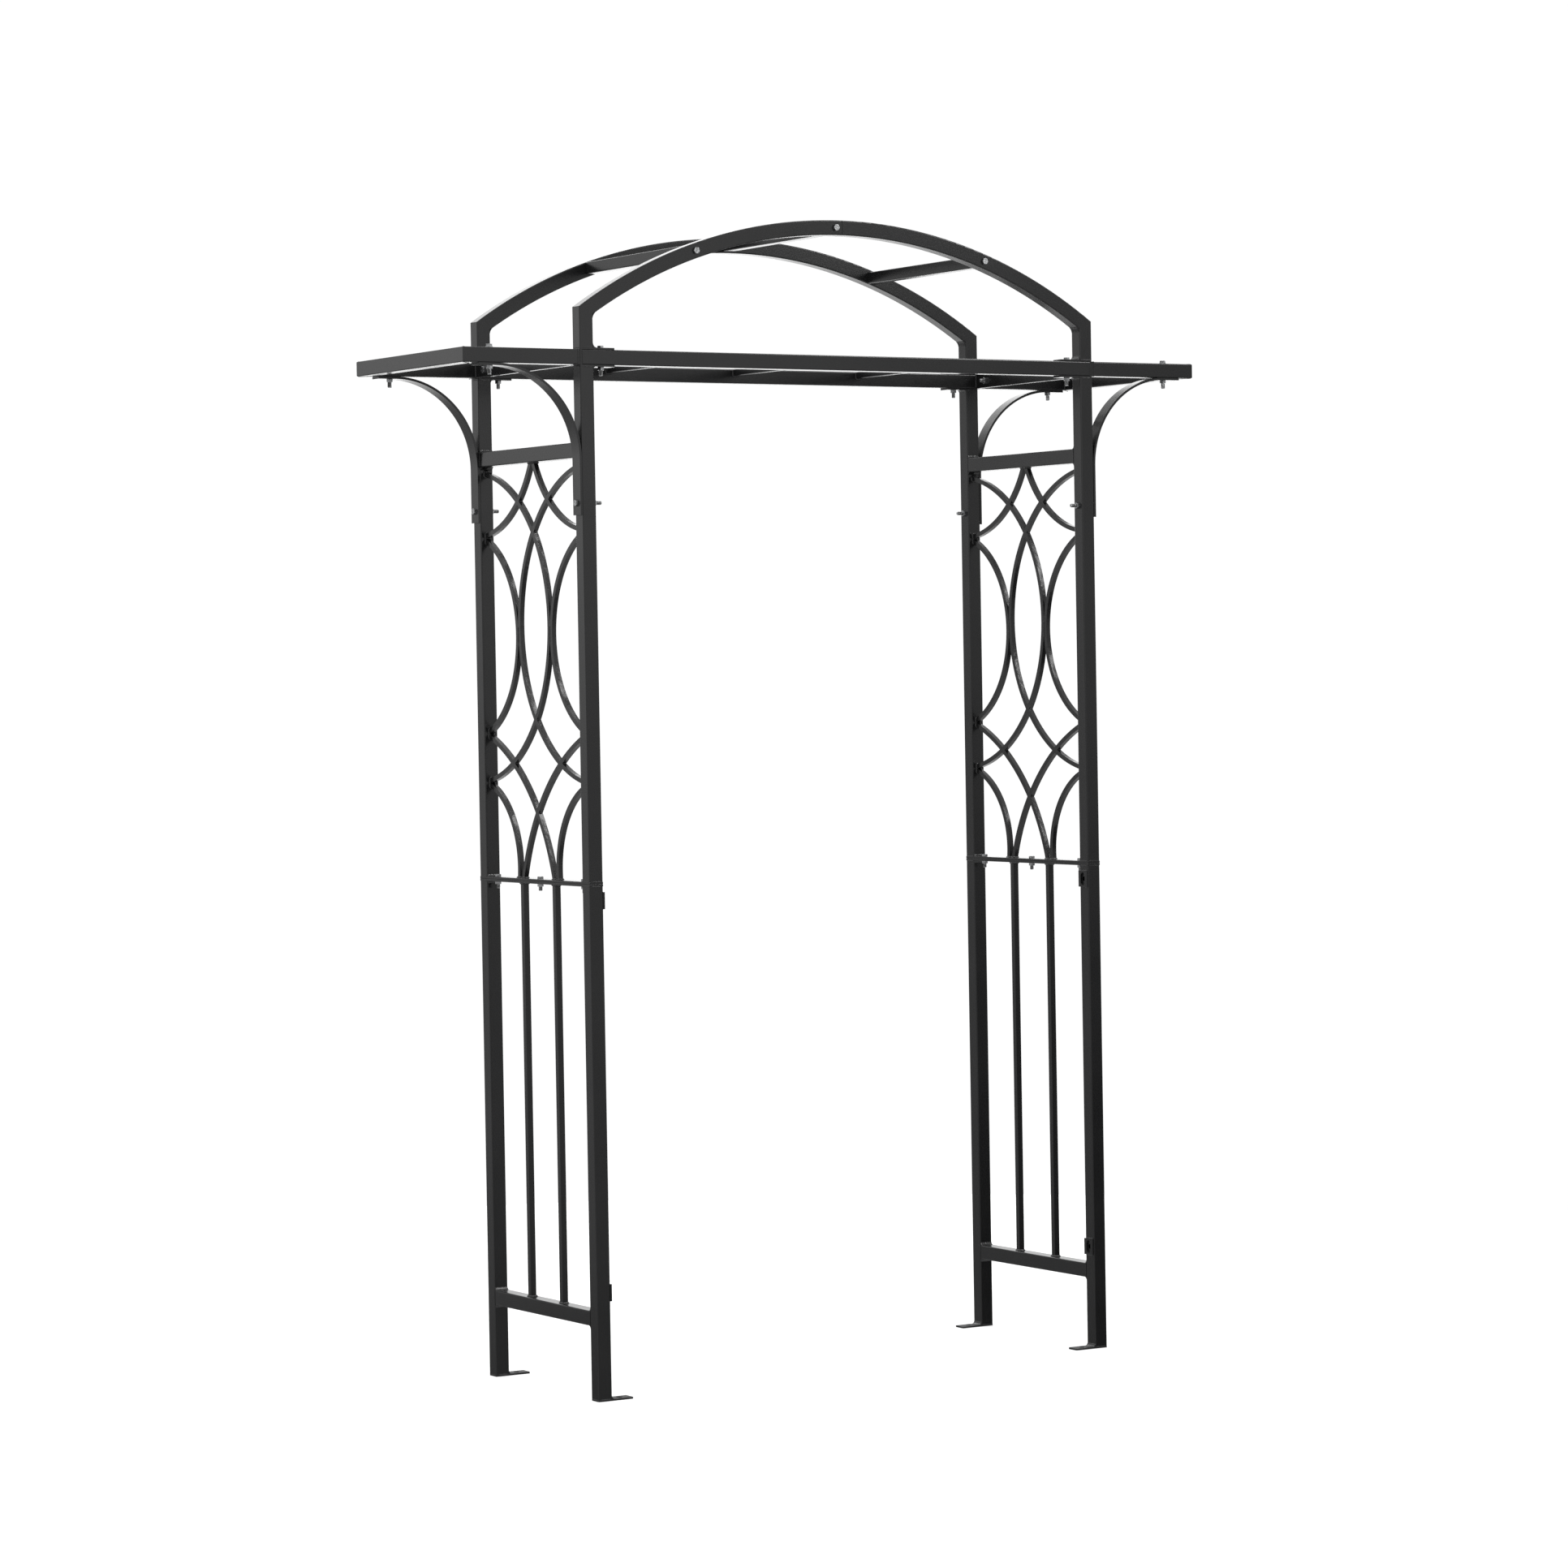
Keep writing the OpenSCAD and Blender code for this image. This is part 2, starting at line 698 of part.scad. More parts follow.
foot_plates();
lower_post_left_front();
lower_post_left_rear();
lower_post_right_front();
lower_post_right_rear();
lower_rail_left();
lower_rail_right();
pickets_left();
pickets_right();
lower_splice_bar_left();
lower_splice_bar_right();
gate_hinge_pads();
upper_splice_bar_left();
upper_splice_bar_right();
upper_post_left_front();
upper_post_left_rear();
upper_post_right_front();
upper_post_right_rear();
upper_rail_left();
upper_rail_right();
long_arcs_left();
long_arcs_right();
top_arcs_left();
top_arcs_right();
side_arcs_left();
side_arcs_right();
cross_arcs_left();
cross_arcs_right();
foot_arcs_left();
foot_arcs_right();
post_top_plates();
front_beam();
rear_beam();
slats();
ladder_end_bars();
overhang_joint_bars();
overhang_stubs();
overhang_end_beam_left();
overhang_end_beam_right();
arch_foot_plates();
arch_legs();
arch_front_left();
arch_front_right();
arch_rear_left();
arch_rear_right();
arch_sleeves();
crossbars();
crossbar_plugs();
bracket_left_front();
bracket_left_rear();
bracket_right_front();
bracket_right_rear();
short_bolts();
arch_bolts();
bracket_beam_bolts();
bracket_post_bolts();
crossbar_bolts();
hex_nuts();
washers();
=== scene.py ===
# Garden trellis arch of square steel tube, bolted up from two stacked frames a side, a slatted
# top frame that overhangs both ends, and a low bow over it, all powder coated black.
# Sizes are in metres. X runs across the walkway, Y through it and Z up.
import json
import math
import random

import bmesh
import bpy
from mathutils import Matrix, Vector
from mathutils.bvhtree import BVHTree

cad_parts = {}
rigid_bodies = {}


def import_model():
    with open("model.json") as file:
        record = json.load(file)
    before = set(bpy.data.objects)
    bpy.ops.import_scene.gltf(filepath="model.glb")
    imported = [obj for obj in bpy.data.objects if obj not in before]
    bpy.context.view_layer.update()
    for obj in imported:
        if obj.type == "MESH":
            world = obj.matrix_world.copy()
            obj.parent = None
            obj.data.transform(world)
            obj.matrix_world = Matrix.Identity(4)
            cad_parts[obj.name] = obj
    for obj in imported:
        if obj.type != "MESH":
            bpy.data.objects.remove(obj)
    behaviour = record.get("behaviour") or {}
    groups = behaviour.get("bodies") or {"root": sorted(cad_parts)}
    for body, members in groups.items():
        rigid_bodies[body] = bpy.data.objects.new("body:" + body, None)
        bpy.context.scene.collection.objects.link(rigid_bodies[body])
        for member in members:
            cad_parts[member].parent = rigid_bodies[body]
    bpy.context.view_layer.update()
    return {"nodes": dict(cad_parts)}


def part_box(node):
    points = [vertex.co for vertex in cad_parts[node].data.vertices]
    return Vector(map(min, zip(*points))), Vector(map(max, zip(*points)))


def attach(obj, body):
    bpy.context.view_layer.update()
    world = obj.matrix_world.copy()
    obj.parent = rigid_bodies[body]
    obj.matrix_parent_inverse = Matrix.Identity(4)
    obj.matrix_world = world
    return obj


for leftover in list(bpy.data.objects):
    bpy.data.objects.remove(leftover)
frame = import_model()
scene = bpy.context.scene
nodes = frame["nodes"]


# ---- Foot plates and lower posts ----
# Square tube posts stand on flat plates, welded all round, with a heavier bead where the
# plate runs on into the walkway. Everything welded is powder coated afterwards, so the
# beads are as black as the tube.

# Repeats to a metre of the coat's drift in shade, its grain, the metal's dents and the peel
DRIFT, GRAIN, DENTS, PEEL = 9, 520, 45, 420


def powder_coat(name, peel, bends, smooth=0.15, dull=0.29):
    """Satin black powder coat: an orange-peel skin of height peel, over tube that its
    bending or linishing left uneven by about the height bends. Its roughness runs from
    smooth to dull."""
    mat = bpy.data.materials.new(name)
    mat.use_nodes = True
    tree = mat.node_tree
    new, link = tree.nodes.new, tree.links.new
    paint = tree.nodes["Principled BSDF"]
    paint.inputs["IOR"].default_value = 1.5
    place = new("ShaderNodeTexCoord")

    def noise(scale, detail):
        n = new("ShaderNodeTexNoise")
        n.inputs["Scale"].default_value = scale
        n.inputs["Detail"].default_value = detail
        link(place.outputs["Object"], n.inputs["Vector"])
        return n

    # Film thickness drifts slowly over the work, which shifts the black a little
    drift = noise(DRIFT, 3)
    shade = new("ShaderNodeValToRGB")
    shade.color_ramp.elements[0].position = 0.3
    shade.color_ramp.elements[1].position = 0.7
    shade.color_ramp.elements[0].color = (0.0044, 0.0045, 0.0048, 1)
    shade.color_ramp.elements[1].color = (0.0072, 0.0072, 0.0076, 1)
    link(drift.outputs["Fac"], shade.inputs["Fac"])
    link(shade.outputs["Color"], paint.inputs["Base Color"])

    # The gloss is broken up by fine grain
    grain = noise(GRAIN, 2)
    gloss = new("ShaderNodeMapRange")
    gloss.inputs["To Min"].default_value = smooth
    gloss.inputs["To Max"].default_value = dull
    link(grain.outputs["Fac"], gloss.inputs["Value"])
    link(gloss.outputs["Result"], paint.inputs["Roughness"])

    # Slow dents of the metal first, then the peel of the coat on top
    normal = None
    for scale, height in ((DENTS, bends), (PEEL, peel)):
        bump = new("ShaderNodeBump")
        bump.inputs["Strength"].default_value = 1
        bump.inputs["Distance"].default_value = height
        link(noise(scale, 2).outputs["Fac"], bump.inputs["Height"])
        if normal:
            link(normal, bump.inputs["Normal"])
        normal = bump.outputs["Normal"]
    link(normal, paint.inputs["Normal"])
    return mat


tube_coat = powder_coat("black_powder_coat_on_tube", 0.00006, 0.00012)
weld_coat = powder_coat("black_powder_coat_on_welds", 0.0001, 0.0004)
foot_coat = powder_coat("black_powder_coat_on_foot_plates", 0.0001, 0.00012, 0.6, 0.75)
bent_coat = powder_coat("black_powder_coat_on_bent_bar", 0.00008, 0.001)


def finish_node(node, mat):
    for place in nodes[node].material_slots:
        place.material = mat


# Length of one scale of a weld, how many rings draw it, and the sides of its section
SCALE, SCALE_RINGS, BEAD_SIDES = 0.0021, 4, 8


def bead(corners, radius, closed=False):
    """A weld run along a path: overlapping scales of a round section, half sunk in the
    corner it fills. Returns its points and faces."""
    step = SCALE / SCALE_RINGS
    rng = random.Random(round(sum(corners[0]) * 1e4))
    path = [Vector(c) for c in corners] + ([Vector(corners[0])] if closed else [])
    line = []
    for a, b in zip(path, path[1:]):
        n = max(2, round((b - a).length / step))
        line += [a.lerp(b, i / n) for i in range(n)]
    if not closed:
        line.append(path[-1])
    count = len(line)
    across = None
    if len(path) > 2:
        across = (path[1] - path[0]).cross(path[2] - path[1]).normalized()
    scales = [rng.uniform(0.88, 1.1) for _ in range(count)]
    points, faces = [], []
    for i, p in enumerate(line):
        if closed:
            along = line[(i + 1) % count] - line[i - 1]
        else:
            along = line[min(i + 1, count - 1)] - line[max(i - 1, 0)]
        along.normalize()
        side = across or along.orthogonal().normalized()
        out = along.cross(side).normalized()
        phase = i / SCALE_RINGS
        size = radius * scales[int(phase) % count] * (0.93 + 0.1 * (phase % 1))
        if not closed:
            # Each end of the run tapers in over a little more than its radius
            from_end = min(i, count - 1 - i) * step / (1.3 * radius)
            size *= 0.45 + 0.55 * math.sin(min(from_end, 1) * math.pi / 2)
        for k in range(BEAD_SIDES):
            turn = 2 * math.pi * k / BEAD_SIDES
            points.append(p + size * (math.cos(turn) * side + math.sin(turn) * out))
    rings = count if closed else count - 1
    for i in range(rings):
        here, there = i * BEAD_SIDES, (i + 1) % count * BEAD_SIDES
        for k in range(BEAD_SIDES):
            m = (k + 1) % BEAD_SIDES
            faces.append((here + k, here + m, there + m, there + k))
    if not closed:
        faces.append(tuple(range(BEAD_SIDES))[::-1])
        faces.append(tuple(range((count - 1) * BEAD_SIDES, count * BEAD_SIDES)))
    return points, faces


def collar(centre, u, v, half_u, half_v, radius):
    """A closed bead round a bar of the half widths given, in the plane of u and v."""
    centre, u, v = Vector(centre), Vector(u).normalized(), Vector(v).normalized()
    nip = 0.3 * min(half_u, half_v)
    loop = []
    for a, b, first in ((1, 1, 0), (-1, 1, 1), (-1, -1, 0), (1, -1, 1)):
        pair = [(a * half_u, b * (half_v - nip)), (a * (half_u - nip), b * half_v)]
        loop += pair[::-1] if first else pair
    return bead([centre + u * s + v * t for s, t in loop], radius, closed=True)


# Spacing of a fillet's rings, the parts its hollow is drawn in, and how deep its root sits
FILLET_STEP, FILLET_PARTS, ROOT_DEPTH = 0.0009, 6, 0.0004


def fillet(a, b, one, other, leg):
    """A hollow-faced weld from a to b in the corner between two faces: one and other point
    out of the corner along the faces, and leg is how far the weld reaches on each."""
    a, b, one, other = Vector(a), Vector(b), Vector(one), Vector(other)
    rng = random.Random(round(sum(a) * 1e4))
    count = max(6, round((b - a).length / FILLET_STEP))
    points, faces = [], []
    for i in range(count + 1):
        reach = leg * rng.uniform(0.93, 1.05)
        if i in (0, count):
            reach *= 0.82
        corner = a.lerp(b, i / count)
        points.append(corner - (one + other) * ROOT_DEPTH)
        for k in range(FILLET_PARTS + 1):
            turn = math.pi / 2 * k / FILLET_PARTS
            hollow = one * (1 - math.sin(turn)) + other * (1 - math.cos(turn))
            flat = one * (1 - k / FILLET_PARTS) + other * k / FILLET_PARTS
            points.append(corner + reach * hollow.lerp(flat, 0.25))
    ring = FILLET_PARTS + 2
    for i in range(count):
        for k in range(ring):
            m = (k + 1) % ring
            faces.append((i * ring + k, i * ring + m, i * ring + ring + m, i * ring + ring + k))
    faces.append(tuple(range(ring))[::-1])
    faces.append(tuple(range(count * ring, count * ring + ring)))
    return points, faces


def joined(name, parts, mat):
    """One piece out of many closed shells, riding on the frame."""
    points, faces = [], []
    for p, f in parts:
        base = len(points)
        points += p
        faces += [tuple(base + i for i in face) for face in f]
    mesh = bpy.data.meshes.new(name)
    mesh.from_pydata(points, [], faces)
    shell = bmesh.new()
    shell.from_mesh(mesh)
    bmesh.ops.recalc_face_normals(shell, faces=shell.faces)
    shell.to_mesh(mesh)
    shell.free()
    mesh.polygons.foreach_set("use_smooth", [True] * len(faces))
    mesh.materials.append(mat)
    piece = bpy.data.objects.new(name, mesh)
    scene.collection.objects.link(piece)
    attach(piece, "root")
    return piece


def welds(name, beads):
    return joined(name, beads, weld_coat)


# Signs of X for the left and right, and of Y for the front and rear
SIDES = (-1, 1)
# Radius of a thin run that was dressed down, and how far a fillet stops short of an edge
SEAM = 0.0007
SHY = 0.0006
# How far a thin run is let into the faces it lies on
SUNK = 0.0001
foot_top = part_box("foot_plates")[1].z
post_lo, post_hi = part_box("lower_post_right_rear")
TUBE = post_hi.x - post_lo.x
IN_X, OUT_X = post_lo.x, post_hi.x
IN_Y, OUT_Y = post_lo.y, post_hi.y
MID_X, MID_Y = (IN_X + OUT_X) / 2, (IN_Y + OUT_Y) / 2


def tube_seam(side, end, z):
    """A thin run all round a post or leg where it meets flat metal at height z."""
    return collar((side * MID_X, end * MID_Y, z), (1, 0, 0), (0, 1, 0),
                  TUBE / 2 - SUNK, TUBE / 2 - SUNK, SEAM)


def plate_welds(z, upward, leg):
    """Welds between the four posts or legs and the plates at height z, on the side of the
    plates that upward gives."""
    runs = []
    for s in SIDES:
        for f in SIDES:
            runs.append(fillet((s * IN_X, f * (IN_Y + SHY), z),
                               (s * IN_X, f * (OUT_Y - SHY), z),
                               (-s, 0, 0), (0, 0, upward), leg))
            runs.append(tube_seam(s, f, z))
    return runs


finish_node("foot_plates", foot_coat)
for node in ("lower_post_left_front", "lower_post_left_rear",
             "lower_post_right_front", "lower_post_right_rear"):
    finish_node(node, tube_coat)
FOOT_LEG = 0.0055
welds("foot_plate_welds", plate_welds(foot_top, 1, FOOT_LEG))


# ---- Lower rails ----
# Square tube between the front and rear post of each side, as wide as the posts. The butt
# joints are filled top and bottom, and the flush sides are welded thin and dressed.
RAIL_LEG = 0.0052


def rail_welds(node, side):
    low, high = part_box(node)
    runs = []
    for f in SIDES:
        for z, upward in ((low.z, -1), (high.z, 1)):
            runs.append(fillet((side * (IN_X + SHY), f * IN_Y, z),
                               (side * (OUT_X - SHY), f * IN_Y, z),
                               (0, -f, 0), (0, 0, upward), RAIL_LEG))
        for x in (IN_X, OUT_X):
            runs.append(bead([(side * x, f * IN_Y, low.z), (side * x, f * IN_Y, high.z)], SEAM))
    return runs


for side, name in zip(SIDES, ("left", "right")):
    finish_node(f"lower_rail_{name}", tube_coat)
    welds(f"lower_rail_{name}_welds", rail_welds(f"lower_rail_{name}", side))


# ---- Pickets ----
# Two solid square bars a side, cut to length and welded all round to the rail below and
# the flat bar above, with fat beads that flare out past the bar.
PICKET_BEAD = 0.0031
for side, name in zip(SIDES, ("left", "right")):
    node = f"pickets_{name}"
    finish_node(node, tube_coat)
    low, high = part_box(node)
    half = (high.x - low.x) / 2
    runs = []
    for f in SIDES:
        for z in (low.z, high.z):
            runs.append(collar((side * MID_X, f * (high.y - half), z), (1, 0, 0), (0, 1, 0),
                               half, half, PICKET_BEAD))
    welds(f"{node}_welds", runs)


# ---- Splice bars ----
# Flat bars that close the side frames' ends where they are stacked. Each is welded to its
# own pair of posts, with a fillet inside and a thin run all round the post.
SPLICE_LEG = 0.0042
for side, name in zip(SIDES, ("left", "right")):
    for level, corner, upward in (("lower", 0, -1), ("upper", 1, 1)):
        node = f"{level}_splice_bar_{name}"
        finish_node(node, tube_coat)
        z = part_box(node)[corner].z
        runs = []
        for f in SIDES:
            runs.append(fillet((side * (IN_X + SHY), f * IN_Y, z),
                               (side * (OUT_X - SHY), f * IN_Y, z),
                               (0, -f, 0), (0, 0, upward), SPLICE_LEG))
            runs.append(tube_seam(side, f, z))
        welds(f"{node}_welds", runs)


# ---- Gate pads ----
# Slotted plates for a low gate's hinges, on the walkway faces of the two front posts,
# welded along their upper and lower edges.
finish_node("gate_hinge_pads", tube_coat)
low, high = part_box("gate_hinge_pads")
# A pad's height, its beads' radius, and how far they stop short of the pad's sides
PAD_H, PAD_BEAD, PAD_SHY = 0.028, 0.0017, 0.002
runs = []
for s in SIDES:
    for z in (low.z, low.z + PAD_H, high.z - PAD_H, high.z):
        runs.append(bead([(s * IN_X, low.y + PAD_SHY, z), (s * IN_X, high.y - PAD_SHY, z)],
                         PAD_BEAD))
welds("gate_pad_welds", runs)


# ---- Upper posts and rails ----
# The upper side frames are made as the lower ones are, with a plate across each post's top
# that carries the top frame.
for side in ("left", "right"):
    for end in ("front", "rear"):
        finish_node(f"upper_post_{side}_{end}", tube_coat)
for side, name in zip(SIDES, ("left", "right")):
    finish_node(f"upper_rail_{name}", tube_coat)
    welds(f"upper_rail_{name}_welds", rail_welds(f"upper_rail_{name}", side))
finish_node("post_top_plates", tube_coat)
TOP_PLATE_LEG = 0.004
welds("post_top_plate_welds", plate_welds(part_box("post_top_plates")[0].z, -1, TOP_PLATE_LEG))


# ---- Lattice ----
# Solid bars bent into arcs, which cross in one plane: the long arcs run through and the
# others are cut to fit between them. Every end has a bead all round it and the corners of
# each crossing are filled.
BAR = 0.008
# Radii of the beads round the bars' ends, in the crossings' corners and down the touching bars
END_BEAD, CROSSING_BEAD, TOUCH_BEAD = 0.0027, 0.0021, 0.0014
# Half the length of a bead in a corner and of one down touching bars, how far that one lies
# from the bars' middle, and how deep a corner's bead sits
CROSSING_HALF, TOUCH_HALF, TOUCH_FACE, CORNER_DEPTH = 0.0037, 0.014, 0.0036, 0.97
# A place is on a bar when the bar's skin is this near, and bars that cross with less than
# this sine between them only graze
ON_BAR, GRAZING = 0.62 * BAR, 0.3
# The opening of an upper side frame, and the heights where bars meet in pairs on the posts
open_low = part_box("upper_splice_bar_left")[1].z
open_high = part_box("upper_rail_left")[0].z
OPEN = open_high - open_low
high_joint = open_low + 0.832 * OPEN
mid_joint = open_low + 0.348 * OPEN
low_joint = open_low + 0.229 * OPEN
# Half the spacing of the ends in a pair, and how far the long arcs reach past the middle
PAIR = 0.0035
REACH = 0.31 * IN_Y
# Lower end, upper end and bulge of each arc's centre line, in Y and Z
ARCS = (((IN_Y, low_joint + PAIR), (IN_Y, open_high - 0.012), IN_Y + REACH),
        ((IN_Y, high_joint), (0.005, open_high), 0.025),
        ((IN_Y, mid_joint + PAIR), (IN_Y, high_joint - BAR), IN_Y - REACH - BAR + 0.0005),
        ((-0.32 * IN_Y, open_low), (IN_Y, mid_joint - PAIR), 0.038),
        ((0.41 * IN_Y, open_low), (IN_Y, low_joint - PAIR), 0.032))


def circle_of(arc):
    a, b, bulge = Vector(arc[0]), Vector(arc[1]), arc[2]
    half = (b - a).length / 2
    radius = (half * half + bulge * bulge) / (2 * bulge)
    outward = Vector((a.y - b.y, b.x - a.x)) / (2 * half)
    return (a + b) / 2 - outward * (radius - bulge), radius


def lattice_ends(arc):
    """Each end's place, the normal of the face it lands on, and the arc's direction there."""
    centre, _ = circle_of(arc)
    for end in arc[:2]:
        y, z = end
        on_post = abs(abs(y) - IN_Y) < 1e-4
        arm = Vector(end) - centre
        yield y, z, on_post, Vector((-arm.y, arm.x)).normalized()


def crossings(metal):
    """Places in the plane of the lattice where two bars meet, with both directions."""
    circles = []
    for arc in ARCS:
        c, r = circle_of(arc)
        circles += [(c, r), (Vector((-c.x, c.y)), r)]
    found = []
    for i, (c1, r1) in enumerate(circles):
        for c2, r2 in circles[i + 1:]:
            gap = (c2 - c1).length
            if not abs(r1 - r2) < gap < r1 + r2:
                continue
            along = (r1 * r1 - r2 * r2 + gap * gap) / (2 * gap)
            off = math.sqrt(max(0, r1 * r1 - along * along))
            unit = (c2 - c1) / gap
            for hand in SIDES:
                p = c1 + unit * along + hand * off * Vector((-unit.y, unit.x))
                inside = abs(p.x) < IN_Y - BAR and open_low + BAR < p.y < open_high - BAR
                if inside and metal(p):
                    t1, t2 = (Vector((-(p - c).y, (p - c).x)).normalized() for c in (c1, c2))
                    found.append((p, t1, t2))
    return found


def lattice_welds(name, side):
    tree = []
    for kind in ("long", "top", "side", "cross", "foot"):
        mesh = nodes[f"{kind}_arcs_{name}"].data
        tree.append(BVHTree.FromPolygons([v.co for v in mesh.vertices],
                                         [tuple(p.vertices) for p in mesh.polygons]))

    def metal(p):
        return any(t.find_nearest(Vector((side * MID_X, p.x, p.y)))[3] < ON_BAR for t in tree)

    runs = []
    for arc in ARCS:
        for y, z, on_post, way in lattice_ends(arc):
            for hand in SIDES:
                face, spread = ((0, 0, 1), abs(way.x)) if on_post else ((0, 1, 0), abs(way.y))
                runs.append(collar((side * MID_X, hand * y, z), (1, 0, 0), face,
                                   BAR / 2, BAR / 2 / spread, END_BEAD))
    for p, t1, t2 in crossings(metal):
        n1, n2 = Vector((-t1.y, t1.x)), Vector((-t2.y, t2.x))
        turn = n1.x * n2.y - n1.y * n2.x
        if abs(turn) < GRAZING:
            continue
        for a in SIDES:
            for b in SIDES:
                # Corner between the edges of the two bars, filled where both bars run on past it
                h1, h2 = a * BAR / 2, b * BAR / 2
                q = Vector((h1 * n2.y - h2 * n1.y, h2 * n1.x - h1 * n2.x)) / turn
                if q.length > 2 * BAR:
                    continue
                arms = [p + q + t * s * 0.75 * BAR for t, s in
                        ((t1, math.copysign(1, q.dot(t1))), (t2, math.copysign(1, q.dot(t2))))]
                if all(metal(arm) for arm in arms):
                    x = side * MID_X
                    at = p + q * CORNER_DEPTH
                    runs.append(bead([(x - CROSSING_HALF, at.x, at.y),
                                      (x + CROSSING_HALF, at.x, at.y)], CROSSING_BEAD))
    # The side arcs touch the long arcs back to back, and are welded down both faces
    _, _, side_arc, _, _ = ARCS
    touch, r = circle_of(side_arc)
    for hand in SIDES:
        y = hand * (abs(touch.x - r) - BAR / 2)
        for x in (side * MID_X - TOUCH_FACE, side * MID_X + TOUCH_FACE):
            runs.append(bead([(x, y, touch.y - TOUCH_HALF), (x, y, touch.y + TOUCH_HALF)],
                             TOUCH_BEAD))
    return runs


for side, name in zip(SIDES, ("left", "right")):
    for kind in ("long", "top", "side", "cross", "foot"):
        finish_node(f"{kind}_arcs_{name}", bent_coat)
    welds(f"lattice_{name}_welds", lattice_welds(name, side))


# ---- Top frame ----
# A ladder of two beams and three slats, closed by flat bars on edge. The slats sit level
# with the beams' tops, so their beads run down one side, underneath and up the other.
SLAT_BEAD, LADDER_BEAD = 0.0022, 0.0024
# How far a bead stays inside the edges it would otherwise stand out past
INSET = 0.001
beam_low, beam_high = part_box("rear_beam")
BEAM_X = beam_high.x
for node in ("front_beam", "rear_beam", "slats", "ladder_end_bars"):
    finish_node(node, tube_coat)
slat_low, slat_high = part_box("slats")
SLAT = slat_high.z - slat_low.z
SLAT_X = slat_high.x - SLAT / 2
runs = []
for f in SIDES:
    for x in (-SLAT_X, 0, SLAT_X):
        left, right = x - SLAT / 2, x + SLAT / 2
        top, low_z = slat_high.z - INSET, slat_low.z
        runs.append(bead([(left, f * IN_Y, top), (left, f * IN_Y, low_z + INSET),
                          (left + INSET, f * IN_Y, low_z), (right - INSET, f * IN_Y, low_z),
                          (right, f * IN_Y, low_z + INSET), (right, f * IN_Y, top)], SLAT_BEAD))
    for s in SIDES:
        for y, size in ((IN_Y, LADDER_BEAD), (OUT_Y, SEAM)):
            runs.append(bead([(s * BEAM_X, f * y, beam_low.z + INSET),
                              (s * BEAM_X, f * y, beam_high.z - INSET)], size))
        for z in (beam_low.z, beam_high.z):
            runs.append(bead([(s * BEAM_X, f * IN_Y, z), (s * BEAM_X, f * OUT_Y, z)], SEAM))
welds("top_frame_welds", runs)


# ---- Overhangs ----
# A three-sided frame bolts onto each end of the ladder through a second flat bar. Its two
# corners are mitred, with a seam across the top and underside and a bead inside.
for node in ("overhang_joint_bars", "overhang_stubs", "overhang_end_beam_left",
             "overhang_end_beam_right"):
    finish_node(node, tube_coat)
MITRE_BEAD = 0.0027
joint_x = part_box("overhang_joint_bars")[1].x
end_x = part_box("overhang_end_beam_right")[1].x
runs = []
for s in SIDES:
    for f in SIDES:
        low_z, top_z = beam_low.z + INSET, beam_high.z - INSET
        for x, y, size in ((joint_x, IN_Y, LADDER_BEAD), (joint_x, OUT_Y, SEAM),
                           (end_x - TUBE, IN_Y, MITRE_BEAD)):
            runs.append(bead([(s * x, f * y, low_z), (s * x, f * y, top_z)], size))
        for z in (beam_low.z, beam_high.z):
            runs.append(bead([(s * joint_x, f * IN_Y, z), (s * joint_x, f * OUT_Y, z)], SEAM))
            runs.append(bead([(s * (end_x - TUBE), f * IN_Y, z),
                              (s * (end_x - 2 * INSET), f * (OUT_Y - 2 * INSET), z)], SEAM))
welds("overhang_welds", runs)


# ---- Arches ----
# Each arch is two bows of bent square tube that butt at the crown over a hidden sleeve.
# Below each bow a short leg is mitred on, filled inside the corner and dressed flush on the
# other three sides, and stands on a plate.
for node in ("arch_foot_plates", "arch_legs", "arch_front_left", "arch_front_right",
             "arch_rear_left", "arch_rear_right"):
    finish_node(node, tube_coat)
ARCH_FOOT_LEG, SHOULDER_LEG = 0.0075, 0.006
# How far the mitre falls from its outer corner to its inner one, and the slope of the bow
# where it leaves the shoulder
SHOULDER_DROP = 0.0134
BOW_RISE = math.radians(33.4)
inner_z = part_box("arch_legs")[1].z - SHOULDER_DROP
runs = plate_welds(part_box("arch_foot_plates")[1].z, 1, ARCH_FOOT_LEG)
for s in SIDES:
    for f in SIDES:
        runs.append(fillet((s * IN_X, f * (IN_Y + SHY), inner_z),
                           (s * IN_X, f * (OUT_Y - SHY), inner_z),
                           (0, 0, -1), (-s * math.cos(BOW_RISE), 0, math.sin(BOW_RISE)),
                           SHOULDER_LEG))
welds("arch_welds", runs)


# ---- Crossbars ----
# Three square tubes between the arches. They are bolted, not welded: a threaded plug of
# bare steel is pressed into each end, as the sleeves are that join the arches' halves.
finish_node("crossbars", tube_coat)


# Repeats to a metre of the metal's clouds and of its scratches
CLOUDS, SCRATCHES = 330, 900


